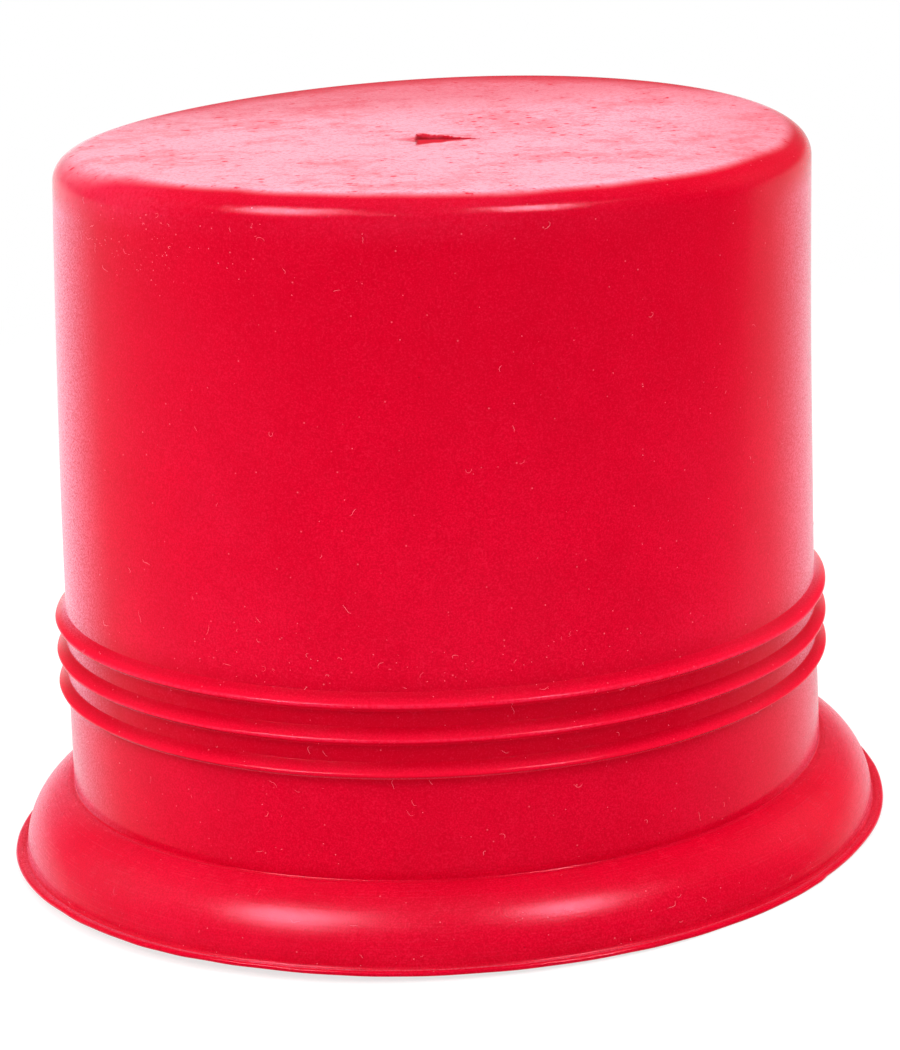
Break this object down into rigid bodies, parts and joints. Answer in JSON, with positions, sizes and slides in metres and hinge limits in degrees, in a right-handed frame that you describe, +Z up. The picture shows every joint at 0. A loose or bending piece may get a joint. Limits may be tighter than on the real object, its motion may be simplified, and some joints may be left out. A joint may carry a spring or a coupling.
{
  "type": "rubber stopper",
  "caption": "Hollow cap-shaped rubber stopper: closed plug with sealing ribs, a rounded flange bead and a thin lip round the foot; a small cut pierces the closed end.",
  "frame": {"origin": "centre of the flange underside, on the surface that the stopper stands on", "axes": "+Z up along the plug's axis to the closed end; +X to the right and +Y away, seen from the front"},
  "size_m": [0.04, 0.04, 0.0322],
  "materials": {
    "red_rubber": "satin moulded rubber with a dusty bloom"
  },
  "bodies": {
    "root": {"stopper": "red_rubber"}
  },
  "joints": []
}
